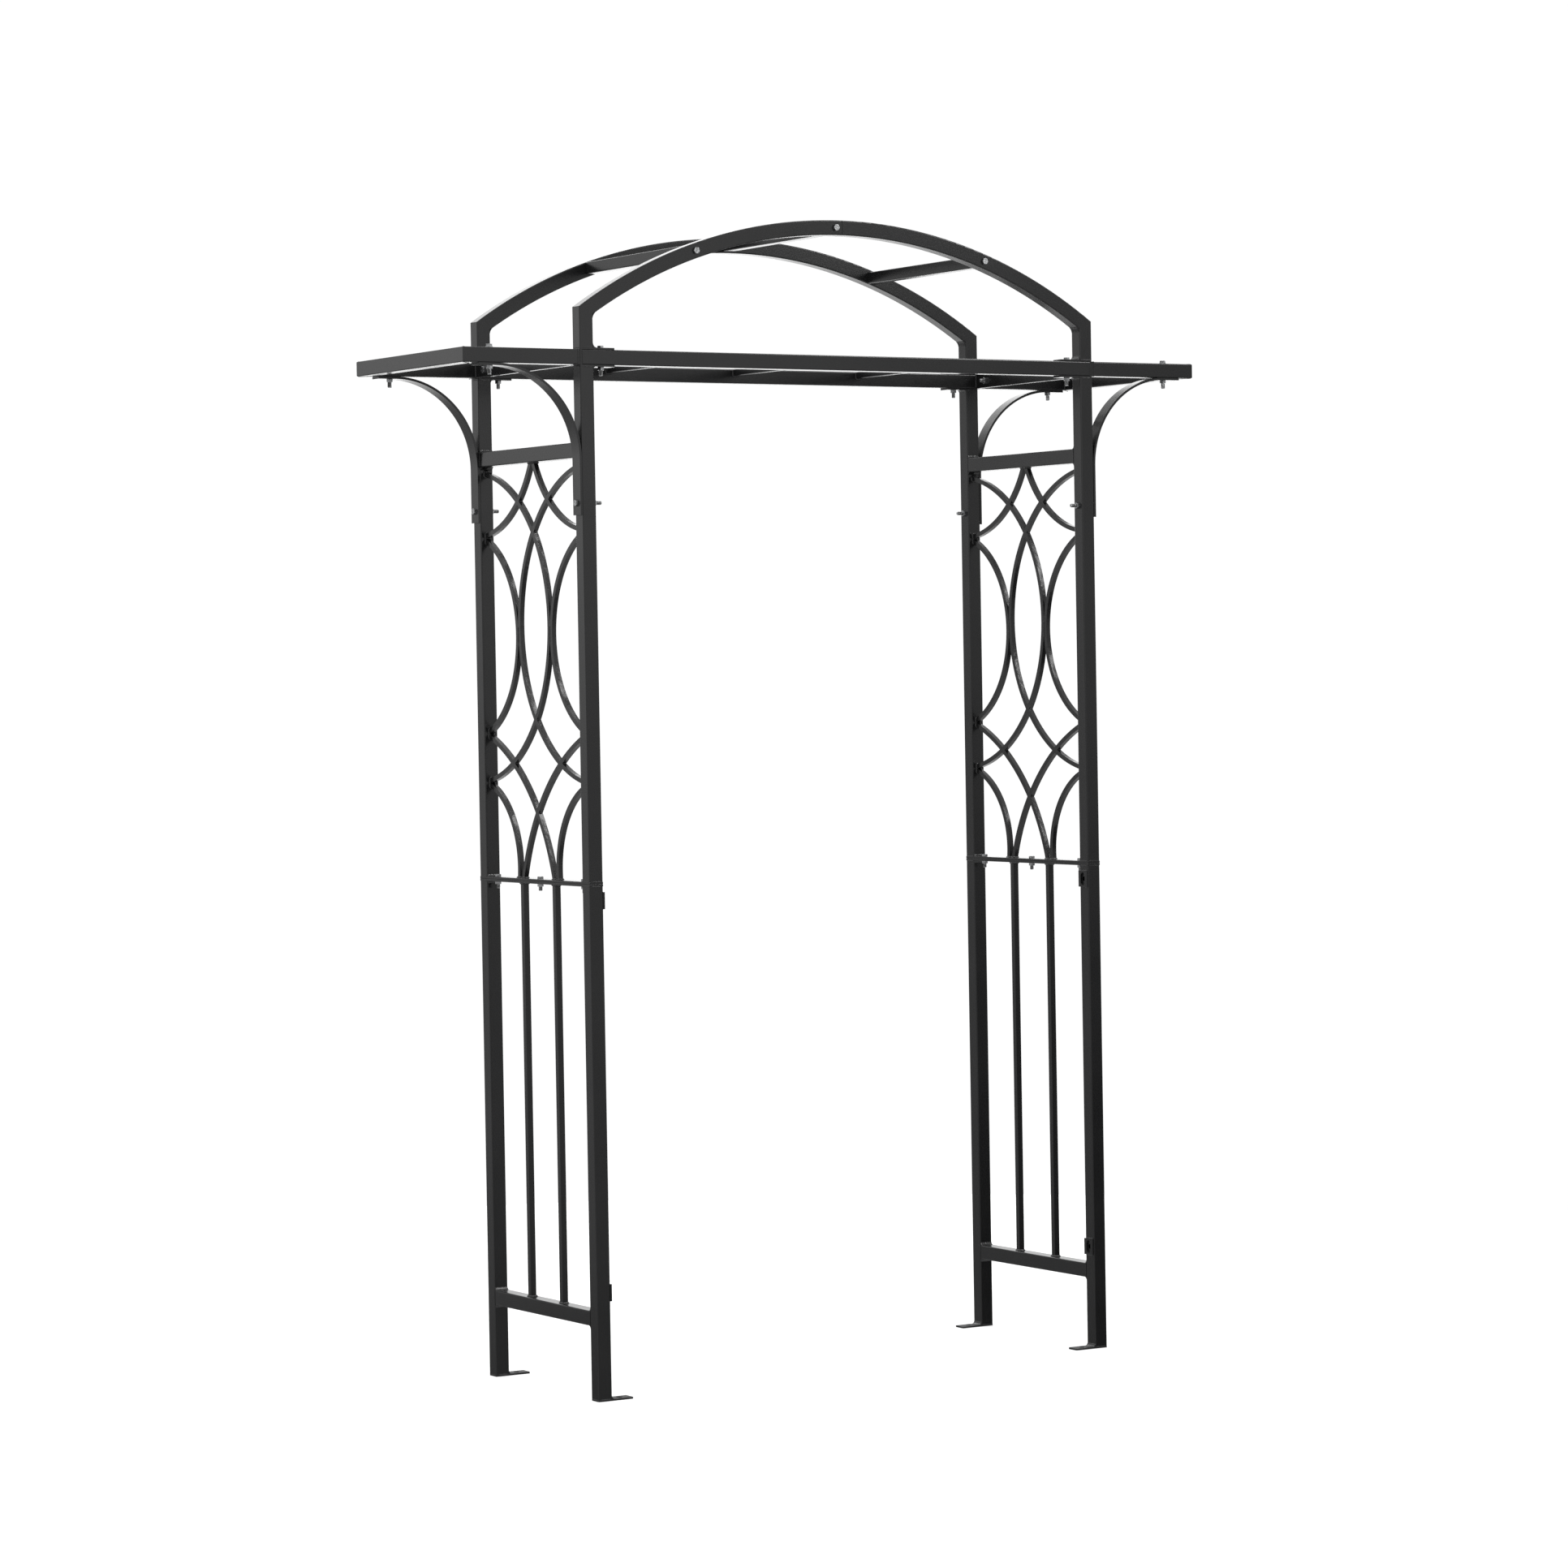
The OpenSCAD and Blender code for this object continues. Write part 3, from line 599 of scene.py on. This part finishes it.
def plain_steel(name, light, dark, smooth, dull, marks):
    """Bare or zinc-plated steel: cloudy between a light and a dark shade, with scratches of
    the height marks and a roughness that wanders from smooth to dull."""
    mat = bpy.data.materials.new(name)
    mat.use_nodes = True
    tree = mat.node_tree
    new, link = tree.nodes.new, tree.links.new
    metal = tree.nodes["Principled BSDF"]
    metal.inputs["Metallic"].default_value = 1
    place = new("ShaderNodeTexCoord")
    cloud = new("ShaderNodeTexNoise")
    cloud.inputs["Scale"].default_value = CLOUDS
    cloud.inputs["Detail"].default_value = 3
    link(place.outputs["Object"], cloud.inputs["Vector"])
    shade = new("ShaderNodeValToRGB")
    shade.color_ramp.elements[0].position = 0.32
    shade.color_ramp.elements[1].position = 0.68
    shade.color_ramp.elements[0].color = (*dark, 1)
    shade.color_ramp.elements[1].color = (*light, 1)
    link(cloud.outputs["Fac"], shade.inputs["Fac"])
    link(shade.outputs["Color"], metal.inputs["Base Color"])
    gloss = new("ShaderNodeMapRange")
    gloss.inputs["To Min"].default_value = smooth
    gloss.inputs["To Max"].default_value = dull
    link(cloud.outputs["Fac"], gloss.inputs["Value"])
    link(gloss.outputs["Result"], metal.inputs["Roughness"])
    scratch = new("ShaderNodeTexNoise")
    scratch.inputs["Scale"].default_value = SCRATCHES
    link(place.outputs["Object"], scratch.inputs["Vector"])
    bump = new("ShaderNodeBump")
    bump.inputs["Distance"].default_value = marks
    link(scratch.outputs["Fac"], bump.inputs["Height"])
    link(bump.outputs["Normal"], metal.inputs["Normal"])
    return mat


mill_steel = plain_steel("mill_steel", (0.30, 0.30, 0.31), (0.17, 0.165, 0.16), 0.4, 0.6, 0.00008)
finish_node("crossbar_plugs", mill_steel)
finish_node("arch_sleeves", mill_steel)


# ---- Brackets ----
# Flat bar bent through a quarter turn, bolted to the post's outer face and up under the
# overhang's arm, and coated like the tube.
for side in ("left", "right"):
    for end in ("front", "rear"):
        finish_node(f"bracket_{side}_{end}", tube_coat)


# ---- Fasteners ----
# Bright zinc M6 hex bolts with nuts, and plain washers under the heads on the overhangs.
# Their shanks are smooth in the frame, so a thread is wound on wherever an end shows, and
# the thread is given a darker zinc than the heads.
bright_zinc = plain_steel("bright_zinc", (0.52, 0.53, 0.54), (0.17, 0.17, 0.17),
                          0.2, 0.4, 0.00005)
zinc_thread = plain_steel("zinc_on_threads", (0.24, 0.24, 0.24), (0.08, 0.08, 0.08),
                          0.25, 0.45, 0.00005)
for node in ("short_bolts", "arch_bolts", "bracket_beam_bolts", "bracket_post_bolts",
             "crossbar_bolts", "hex_nuts", "washers"):
    finish_node(node, bright_zinc)

# A thread's pitch, its radii at crest and root, a radius inside the shank, and how many
# points draw one turn
PITCH = 0.001
CREST, ROOT, CORE = 0.00318, 0.00302, 0.0025
TURN_POINTS = 14


def thread(start, way, length):
    """A coil of V-shaped ridge round a bolt's end, from start along way."""
    start, way = Vector(start), Vector(way).normalized()
    u = way.orthogonal().normalized()
    v = way.cross(u)
    count = int((length / PITCH - 1) * TURN_POINTS)
    points, faces = [], []
    for i in range(count + 1):
        turn = 2 * math.pi * i / TURN_POINTS
        spoke = u * math.cos(turn) + v * math.sin(turn)
        for radius, rise in ((ROOT, 0), (CREST, 0.5), (ROOT, 1), (CORE, 0.5)):
            points.append(start + way * PITCH * (i / TURN_POINTS + rise) + spoke * radius)
    for i in range(count):
        for k in range(4):
            m = (k + 1) % 4
            faces.append((4 * i + k, 4 * i + m, 4 * i + 4 + m, 4 * i + 4 + k))
    faces.append((3, 2, 1, 0))
    faces.append(tuple(4 * count + k for k in range(4)))
    return points, faces


# A nut's height, the bevel at a bolt's tip, the flat bar's thickness, and how far the bolts
# show past their nuts at the flat bars, the arches and the brackets' lower ends
NUT, TIP, FLAT = 0.005, 0.0006, 0.004
FLAT_SHOWS, ARCH_SHOWS, POST_SHOWS = 0.007, 0.009, 0.011
# How far bolts sit from the posts' inner faces: in the splices, in the end bars and in the
# plates that stick out into the walkway
SPLICE_IN, END_BAR_IN, PLATE_IN = 0.016, 0.030, 0.020
splice_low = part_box("lower_splice_bar_left")[0].z
end_bar_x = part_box("ladder_end_bars")[1].x - FLAT
beam_mid_z = (beam_low.z + beam_high.z) / 2
plate_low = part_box("post_top_plates")[0].z
arm_low, arm_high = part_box("bracket_beam_bolts")
# The outermost bolt's head reaches as far past its middle in X as in Y
arm_bolt_x = arm_high.x - (arm_high.y - MID_Y)
bracket_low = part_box("bracket_left_front")[1].z - FLAT
tip_lo, tip_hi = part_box("bracket_post_bolts")
post_bolt_z = (tip_lo.z + tip_hi.z) / 2
runs = []
for s in SIDES:
    for y in (SPLICE_IN - IN_Y, 0, IN_Y - SPLICE_IN):
        runs.append(thread((s * MID_X, y, splice_low - NUT), (0, 0, -1), FLAT_SHOWS - TIP))
    for f in SIDES:
        runs.append(thread((s * (end_bar_x - NUT), f * (IN_Y - END_BAR_IN), beam_mid_z),
                           (-s, 0, 0), FLAT_SHOWS - TIP))
        runs.append(thread((s * (IN_X - PLATE_IN), f * MID_Y, plate_low - NUT), (0, 0, -1),
                           ARCH_SHOWS - TIP))
        runs.append(thread((s * arm_bolt_x, f * MID_Y, bracket_low - NUT), (0, 0, -1),
                           bracket_low - NUT - arm_low.z - TIP))
        runs.append(thread((s * (IN_X - NUT), f * MID_Y, post_bolt_z), (-s, 0, 0),
                           POST_SHOWS - TIP))
joined("bolt_threads", runs, zinc_thread)


# ---- Floor, light and camera ----
# A white studio floor that runs out into white all round, a broad soft light overhead, and
# two glowing paper walls, behind and in front, that the paint mirrors. The walls are out of
# sight, shade off downwards and change from left to right.
FLOOR_GLOW, FLECKS = 0.5, 30
floor_paper = bpy.data.materials.new("white_floor")
floor_paper.use_nodes = True
tree = floor_paper.node_tree
paper = tree.nodes["Principled BSDF"]
paper.inputs["Specular IOR Level"].default_value = 0.1
paper.inputs["Roughness"].default_value = 0.9
paper.inputs["Emission Color"].default_value = (1, 1, 1, 1)
paper.inputs["Emission Strength"].default_value = FLOOR_GLOW
fleck = tree.nodes.new("ShaderNodeTexNoise")
fleck.inputs["Scale"].default_value = FLECKS
shade = tree.nodes.new("ShaderNodeValToRGB")
for stop, grey in zip(shade.color_ramp.elements, (0.53, 0.57)):
    stop.color = (grey, grey, grey, 1)
tree.links.new(fleck.outputs["Fac"], shade.inputs["Fac"])
tree.links.new(shade.outputs["Color"], paper.inputs["Base Color"])


def sheet_of(name, corners, mat):
    mesh = bpy.data.meshes.new(name)
    mesh.from_pydata(corners, [], [tuple(range(len(corners)))])
    mesh.materials.append(mat)
    sheet = bpy.data.objects.new(name, mesh)
    scene.collection.objects.link(sheet)
    return sheet


FLOOR_R = 2.6
RIM = 96
rim = [(FLOOR_R * math.cos(2 * math.pi * i / RIM), FLOOR_R * math.sin(2 * math.pi * i / RIM), 0)
       for i in range(RIM)]
floor = sheet_of("floor", rim, floor_paper)
floor.visible_glossy = False


def wall_light(name, strips):
    """Glowing paper in upright strips that blend into each other along X. A strip is the span
    of X where it takes over from the last one, and its strength at a few heights."""
    mat = bpy.data.materials.new(name)
    mat.use_nodes = True
    tree = mat.node_tree
    tree.nodes.clear()
    new, link = tree.nodes.new, tree.links.new
    place = new("ShaderNodeTexCoord")
    split = new("ShaderNodeSeparateXYZ")
    link(place.outputs["Object"], split.inputs[0])
    rise = new("ShaderNodeMapRange")
    rise.inputs["From Min"].default_value = WALL_LOW
    rise.inputs["From Max"].default_value = WALL_TOP
    link(split.outputs["Z"], rise.inputs["Value"])
    strength = None
    for (start, end), heights in strips:
        strip = new("ShaderNodeValToRGB")
        stops = strip.color_ramp.elements
        while len(stops) < len(heights):
            stops.new(0.5)
        for stop, (z, value) in zip(stops, heights):
            stop.position = (z - WALL_LOW) / (WALL_TOP - WALL_LOW)
            part = value / BRIGHTEST
            stop.color = (part, part, part, 1)
        link(rise.outputs["Result"], strip.inputs["Fac"])
        if strength:
            turn = new("ShaderNodeMapRange")
            turn.inputs["From Min"].default_value = start
            turn.inputs["From Max"].default_value = end
            link(split.outputs["X"], turn.inputs["Value"])
            mix = new("ShaderNodeMix")
            mix.data_type = "RGBA"
            link(turn.outputs["Result"], mix.inputs["Factor"])
            link(strength, mix.inputs[6])
            link(strip.outputs["Color"], mix.inputs[7])
            strength = mix.outputs[2]
        else:
            strength = strip.outputs["Color"]
    glow = new("ShaderNodeEmission")
    glow.inputs["Strength"].default_value = BRIGHTEST
    link(strength, glow.inputs["Color"])
    out = new("ShaderNodeOutputMaterial")
    link(glow.outputs[0], out.inputs["Surface"])
    return mat


def out_of_sight(sheet):
    sheet.visible_camera = False
    sheet.visible_shadow = False


WALL_Y, WALL_X, WALL_LOW, WALL_TOP = 3.0, 6.0, -1.4, 3.6
BRIGHTEST = 2.4
front_glow = wall_light("front_wall_glow", (
    ((-WALL_X, -WALL_X), ((-0.3, 0.34), (0.15, 0.52), (0.9, 0.62), (1.5, 0.85), (1.85, 1.05),
                           (2.3, 0.8))),
    ((1.3, 2.4), ((-0.3, 0.05), (0.15, 0.10), (0.5, 0.22), (0.85, 0.44), (1.4, 0.60),
                  (2.3, 0.45)))))
back_glow = wall_light("back_wall_glow", (
    ((-WALL_X, -WALL_X), ((-0.42, 0.14), (-0.3, 0.33), (0.5, 0.50), (1.15, 0.73), (1.85, 1.04))),
    ((-2.0, -1.8), ((-0.3, 0.33), (0.5, 0.40), (1.15, 0.42), (1.85, 0.62))),
    ((-0.6, 0.3), ((0.9, 1.15), (1.45, 2.3)))))
for name, y, mat in (("front_wall", -WALL_Y, front_glow), ("back_wall", WALL_Y, back_glow)):
    out_of_sight(sheet_of(name, [(-WALL_X, y, WALL_LOW), (WALL_X, y, WALL_LOW),
                                 (WALL_X, y, WALL_TOP), (-WALL_X, y, WALL_TOP)], mat))

# A tall narrow softbox up in front on the right, aimed at the lattice's height, which only
# glints in the paint
SOFTBOX_GLOW, SOFTBOX_W, SOFTBOX_H, SOFTBOX_AWAY = 11, 0.6, 2.0, 3.0
LATTICE_Z = 1.2
softbox_glow = bpy.data.materials.new("softbox_glow")
softbox_glow.use_nodes = True
softbox_glow.node_tree.nodes.clear()
glow = softbox_glow.node_tree.nodes.new("ShaderNodeEmission")
glow.inputs["Strength"].default_value = SOFTBOX_GLOW
out = softbox_glow.node_tree.nodes.new("ShaderNodeOutputMaterial")
softbox_glow.node_tree.links.new(glow.outputs[0], out.inputs["Surface"])
towards = Vector((0.52, -0.52, 0.67)).normalized()
wide = Vector((0.85, 0.52, 0)).normalized() * SOFTBOX_W / 2
tall = towards.cross(wide).normalized() * SOFTBOX_H / 2
middle = Vector((0, 0, LATTICE_Z)) + towards * SOFTBOX_AWAY
softbox = sheet_of("softbox", [middle - wide - tall, middle + wide - tall,
                               middle + wide + tall, middle - wide + tall], softbox_glow)
out_of_sight(softbox)
softbox.visible_diffuse = False

# Everything else round about is plain light grey in the paint, and white to the eye
ROOM_GREY, ROOM_WHITE = 0.7, 1.02
world = bpy.data.worlds.new("studio")
scene.world = world
world.use_nodes = True
tree = world.node_tree
seen = tree.nodes.new("ShaderNodeLightPath")
mix = tree.nodes.new("ShaderNodeMix")
tree.links.new(seen.outputs["Is Camera Ray"], mix.inputs[0])
mix.inputs[2].default_value = ROOM_GREY
mix.inputs[3].default_value = ROOM_WHITE
tree.links.new(mix.outputs[0], tree.nodes["Background"].inputs["Strength"])
tree.nodes["Background"].inputs["Color"].default_value = (1, 1, 1, 1)

overhead = bpy.data.lights.new("overhead", "SUN")
overhead.energy = 1.9
overhead.angle = math.radians(70)
overhead_place = bpy.data.objects.new("overhead", overhead)
overhead_place.rotation_euler = (math.radians(-8), math.radians(-6), 0)
scene.collection.objects.link(overhead_place)

# The camera stands well back to the left of the front, a little above half the arch's
# height. Its angles are how far it turns right, tilts up and leans
camera = bpy.data.cameras.new("camera")
camera.sensor_width = 36
camera.lens = 108.669
camera.clip_end = 100
eye = bpy.data.objects.new("camera", camera)
yaw, pitch, roll = 0.54988, -0.02250, -0.01711
ahead = Vector((math.sin(yaw) * math.cos(pitch), math.cos(yaw) * math.cos(pitch), math.sin(pitch)))
level = Vector((math.cos(yaw), -math.sin(yaw), 0))
upright = level.cross(ahead)
right = math.cos(roll) * level + math.sin(roll) * upright
up = math.cos(roll) * upright - math.sin(roll) * level
turn = Matrix((right, up, -ahead)).transposed().to_4x4()
eye.matrix_world = Matrix.Translation((-4.25658, -6.91670, 1.17656)) @ turn
scene.collection.objects.link(eye)
scene.camera = eye
scene.view_settings.view_transform = "Standard"
